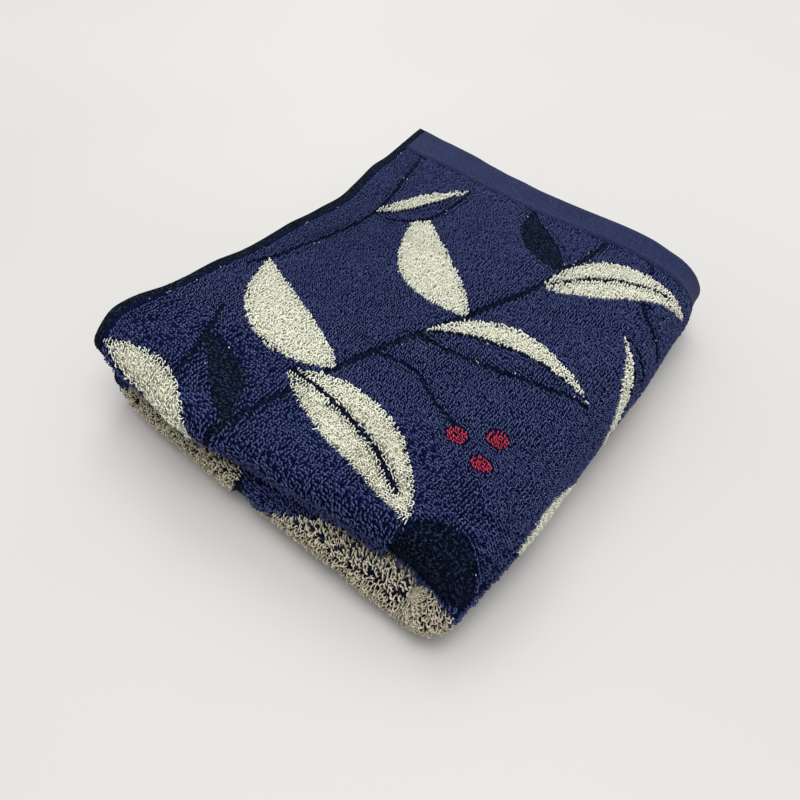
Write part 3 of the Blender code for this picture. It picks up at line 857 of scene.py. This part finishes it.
def makePile(name, materialName, across, along, face, look, dice, lower=0.0, longer=1.0):
    if not len(across):
        return None
    base = halfThickness(across, along, towelCloth["weave"]) - pileLoops["sunkBase"] - lower
    points, yarnRun, rise = loopShapes(across, along, base, face, look, dice, longer)
    flipped = face > 0
    quads, caps = loopFaces(len(across), look["segments"], flipped)
    yarnMap = loopMap(yarnRun, look["segments"], flipped)
    piece = makeMesh(name, points.reshape(-1, 3), [quads, caps], yarnMap, pointValues={"rise": rise})
    piece.data.materials.append(yarnMaterials[materialName])
    print("stage:", name, len(across), "loops", 2 * len(quads) + len(caps), "triangles")
    return piece


faceKinds = ((navyTones, "navy", navyYarn), (creamTones, "cream", creamYarn), (redTones, "navy", redYarn))
pileEnd = frontRollEnd + groundCloth["pileStop"][0]
wholeWidth = (0.0, towelCloth["width"])


def inTerry(across, along):
    pastSelvage, pastHem = insideBands(across, along)
    return (pastSelvage > pileLoops["startAcross"]) & (pastHem > pileLoops["startAlong"])


def isResting(across, along):
    return (across > pileLoops["restingAcross"]) & (along < pileLoops["restingAlong"])


def makePileKind(tones, kind, wanted, fineness, dice):  # the pile of one yarn, in one of its two sizes
    pieces, parts = [], partedPile
    across, along = loopGrid(wholeWidth, (0.0, pileEnd), pileLoops[kind + fineness + "Pitch"], dice)
    parted = openAtRoll(across, along) * (wanted == creamYarn)
    border = pileLoops["largerFrom"]
    for high, turns in pileLoops["borderWaves"]:
        border = border + high * np.sin(turns * across)
    kept = (wovenDesign(across, along) == wanted) & inTerry(across, along) & ~isResting(across, along)
    kept &= (along < border) if fineness else (along >= border)
    kept &= dice.random(len(across)) > parts["thinned"] * parted
    across, along, parted, border = (values[kept] for values in (across, along, parted, border))
    across = across + dice.normal(0, parts["scatter"], len(across)) * parted
    along = along + dice.normal(0, parts["scatter"], len(along)) * parted
    nearBorder = 1 - ease(0.002, 0.030, np.abs(along - border))  # here both kinds have nearly the same size
    blend = pileLoops["borderBlend"] if fineness else -pileLoops["borderBlend"]
    lower, longer = sinking(across, along), 1 + parts["longer"] * parted + blend * nearBorder
    lot = dice.integers(0, len(tones), len(across))
    # painted shade: some cream loops on the lower roll take the shaded copy of the cream yarn
    shadedAtRoll = (dice.random(len(across)) < parts["shadedAtRoll"] * parted) & (wanted == creamYarn)
    lot = np.where(shadedAtRoll, len(tones), lot)
    for number, name in enumerate([*tones, *rollShadeTones]):
        mine = lot == number
        pieces.append(makePile(name + fineness, name, across[mine], along[mine], 1,
                               yarnLooks[kind + fineness], dice, lower[mine], longer[mine]))
    return pieces


def makeFacePile(dice):  # what shows on the folded towel
    return [piece for tones, kind, wanted in faceKinds for fineness in ("Fine", "")
            for piece in makePileKind(tones, kind, wanted, fineness, dice)]


def makeRestingPile(dice):  # the side on the floor, pressed flat and set wider
    pieces = []
    acrossRange = (pileLoops["restingAcross"], towelCloth["width"])
    across, along = loopGrid(acrossRange, (0.0, pileLoops["restingAlong"]), pileLoops["restingPitch"], dice)
    yarn = np.where(inTerry(across, along), wovenDesign(across, along), noPile)
    under = (("navyPileUnder", "navyPileMid", navyYarn), ("creamPileUnder", "creamPileWarm", creamYarn))
    for name, material, wanted in under:
        mine = yarn == wanted
        pieces.append(makePile(name, material, across[mine], along[mine], 1, yarnLooks["resting"], dice))
    return pieces


edgeSides = (("Face", 1, wovenDesign, "edgePitch"), ("Back", -1, reverseDesign, "edgePitch"),
             ("Turn", 1, wovenDesign, "turnPitch"))
edgeKinds = (("navyEdge", "navyPileDeep", navyYarn), ("creamEdge", "creamPileWarm", creamYarn))


def makeEdgePile(dice):  # the inner layers, where they can be seen between selvages, hems and back turn
    pieces = []
    turnMiddle, turnReach = backTurnStart + pi * innerTurn / 2, pileLoops["turnReach"]
    for side, face, design, coarser in edgeSides:
        alongRange = (0.0, clothLength)
        if side == "Turn":
            alongRange = (turnMiddle - turnReach, turnMiddle + turnReach)
        across, along = loopGrid(wholeWidth, alongRange, pileLoops[coarser], dice)
        shown = pileShown(across, along)[0 if face > 0 else 1]
        kept = (shown > 0.6) & inTerry(across, along)
        if side == "Face":
            kept &= (along > pileEnd) & (np.abs(along - turnMiddle) > turnReach)
        u, v = across[kept], along[kept]
        yarn = design(u, v)
        for name, material, wanted in edgeKinds:
            mine = yarn == wanted
            pieces.append(makePile(name + side, material, u[mine], v[mine], face, yarnLooks["edge"], dice))
    return pieces


def makeKnots(dice):  # knobbly threads of the bare ground and the selvages
    first, last = 0.0004, towelCloth["width"] - 0.0004
    across, along = loopGrid((first, last), (first, pileEnd), pileLoops["knotPitch"], dice)
    bare = (wovenDesign(across, along) == noPile) & inTerry(across, along)
    kept = (bare | (insideBands(across, along)[0] < 0.0010)) & ~isResting(across, along)
    across, along = across[kept], along[kept]
    lower = 0.5 * sinking(across, along)
    return [makePile("groundKnots", "groundKnots", across, along, 1, yarnLooks["knot"], dice, lower)]


creamEnds = {"tries": 5000, "edgeTries": 60, "reach": 0.0012, "bunched": 0.55, "fromBerries": 0.02}


def makeFlecks(dice):  # stray cream ends along the inner side of the selvage and the pile-free lines
    across, along = (dice.uniform(low, 0.205, creamEnds["tries"]) for low in (0.006, 0.020))
    share, _, _ = bareAround(across, along, creamEnds["reach"])
    onRim = (share > 0.3) & (share < 0.7)
    waves = np.sin(310 * across + 2.0 * np.sin(190 * along)) * np.sin(270 * along + 1.7 * np.sin(230 * across))
    byBerries = np.hypot(across - berryRows[1][0], along - berryRows[1][1]) < creamEnds["fromBerries"]
    kept = onRim & (waves > creamEnds["bunched"]) & ~byBerries & ~isResting(across, along)
    edge = dice.uniform(0.022, 0.200, creamEnds["edgeTries"])
    edge = edge[np.sin(420 * edge + 3 * np.sin(160 * edge)) > 0.6]
    across = np.concatenate([across[kept], np.full(len(edge), towelCloth["selvage"] + 0.0009)])
    along = np.concatenate([along[kept], edge])
    return [makePile("creamFlecks", "creamPileLight", across, along, 1, yarnLooks["fleck"], dice)]


hemSeam = {"stitch": 0.0021, "every": 0.0026, "fromPile": 0.0008, "thread": 0.00020, "lift": 0.00004}


def makeHemStitches(dice):  # a row of small stitches along the inner edge of both hems, on both faces
    across = np.arange(towelCloth["selvage"], towelCloth["width"] - towelCloth["selvage"], hemSeam["every"])
    points, runs = [], []
    ends = np.array([-0.5, -0.25, 0.25, 0.5])
    hemLine = towelCloth["hem"] - hemSeam["fromPile"]
    for along in ((hemLine + hemSlant(across))[:, None, None], clothLength - hemLine):
        for face in (1, -1):
            around = np.arange(3) * 2 * pi / 3 * -face
            u = across[:, None, None] + hemSeam["stitch"] * ends[None, :, None] + np.zeros(3)
            thread = hemSeam["thread"] * np.array([0.5, 1.0, 1.0, 0.5])[None, :, None]
            v = along + thread * np.sin(around) + np.zeros_like(u)
            lift = towelCloth["hemThick"] / 2 + hemSeam["lift"] + thread * np.cos(around) + np.zeros_like(u)
            points.append(placeOnTowel(u, v, face * lift))
            threadRun = np.cumsum(np.full((len(across), 4), 2.0), axis=1)
            runs.append(threadRun + dice.uniform(0, 9, (len(across), 1)))
    points, runs = np.concatenate(points), np.concatenate(runs)
    quads, caps = loopFaces(len(points), 3, False)
    stitches = makeMesh("hemStitches", points.reshape(-1, 3), [quads, caps], loopMap(runs, 3, False),
                        pointValues={"rise": np.ones(points.shape[:3])})
    stitches.data.materials.append(yarnMaterials["groundKnots"])
    print("stage: hem stitches", len(points))
    return [stitches]


pileDice = np.random.default_rng(pileLoops["seed"])
pileMakers = (makeFacePile, makeRestingPile, makeEdgePile, makeKnots, makeFlecks, makeHemStitches)
pilePieces = [piece for maker in pileMakers for piece in maker(pileDice) if piece]


# the studio
studioFloor = {
    "size": 6.0, "cloud": 3.0, "spread": (0.3, 0.7),
    "tones": ((0.566, 0.553, 0.532), (0.593, 0.581, 0.560)), "roughness": 0.45, "shine": 0.20,
}


def makeStudio():
    bpy.ops.mesh.primitive_plane_add(size=studioFloor["size"], location=(0, 0, 0))
    floor = bpy.context.object
    floor.name = "studioFloor"
    material, tree, shader = startMaterial("pale floor")
    coordinates = addNode(tree, "ShaderNodeTexCoord")
    clouds = noiseAt(tree, coordinates.outputs["Object"], studioFloor["cloud"])
    cloudy = ramp(tree, clouds, *studioFloor["spread"])
    tree.links.new(mixColours(tree, cloudy, *studioFloor["tones"]), shader.inputs["Base Color"])
    shader.inputs["Roughness"].default_value = studioFloor["roughness"]
    shader.inputs["Specular IOR Level"].default_value = studioFloor["shine"]
    floor.data.materials.append(material)


def areaLight(name, look):  # a round soft light that faces the towel
    light = bpy.data.lights.new(name, "AREA")
    light.shape, light.size, light.energy, light.color = "DISK", look["size"], look["power"], look["colour"]
    lamp = bpy.data.objects.new(name, light)
    bpy.context.scene.collection.objects.link(lamp)
    lamp.location = look["location"]
    direction = np.array(lightTarget) - np.array(look["location"])
    tilt = np.arctan2(np.hypot(direction[0], direction[1]), -direction[2])
    lamp.rotation_euler = (tilt, 0.0, np.arctan2(direction[0], -direction[1]) + pi)


lightTarget = (0, 0, 0.01)
roomGlow = {"dim": 0.36, "bright": 1.27, "toward": (-0.28, 0.38, 0.88), "spread": (0.1, 1.0)}
studioLights = {  # a bright room, its windows behind the towel on the left
    "windowBehind": {"location": (-1.50, 2.00, 2.60), "size": 1.5, "power": 30.0, "colour": (1.0, 1.0, 1.0)},
    "ceiling": {"location": (0.10, 0.05, 1.30), "size": 0.9, "power": 7.2, "colour": (1.0, 0.99, 0.97)},
}


def makeRoomLight():
    world = bpy.data.worlds.new("soft room")
    world.use_nodes = True
    tree = world.node_tree
    background = tree.nodes["Background"]
    background.inputs["Color"].default_value = (0.97, 0.98, 1.0, 1.0)
    facing = addNode(tree, "ShaderNodeVectorMath", operation="DOT_PRODUCT")
    tree.links.new(addNode(tree, "ShaderNodeTexCoord").outputs["Generated"], facing.inputs[0])
    facing.inputs[1].default_value = roomGlow["toward"]
    glow = ramp(tree, facing.outputs["Value"], *roomGlow["spread"])
    strength = mathNode(tree, "MULTIPLY", glow, roomGlow["bright"] - roomGlow["dim"])
    tree.links.new(mathNode(tree, "ADD", strength, roomGlow["dim"]), background.inputs["Strength"])
    return world


photoCamera = {"lens": 31.05, "sensor": 36.0, "clip": (0.01, 20.0),
               "location": (0.1190, -0.1542, 0.2250), "turn": (36.93, 0.0, 39.87)}


def makeLightsAndCamera():
    scene = bpy.context.scene
    scene.world = makeRoomLight()
    for name, look in studioLights.items():
        areaLight(name, look)
    camera = bpy.data.cameras.new("camera")
    camera.lens, camera.sensor_width = photoCamera["lens"], photoCamera["sensor"]
    camera.clip_start, camera.clip_end = photoCamera["clip"]
    eye = bpy.data.objects.new("camera", camera)
    scene.collection.objects.link(eye)
    eye.location = photoCamera["location"]
    eye.rotation_euler = [radians(turn) for turn in photoCamera["turn"]]
    scene.camera = eye
    scene.view_settings.view_transform = "Standard"


makeStudio()
makeLightsAndCamera()
print("stage: studio")

# what rides on the frame
for piece in [ground, *pilePieces]:
    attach(piece, "root")
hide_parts("towel")
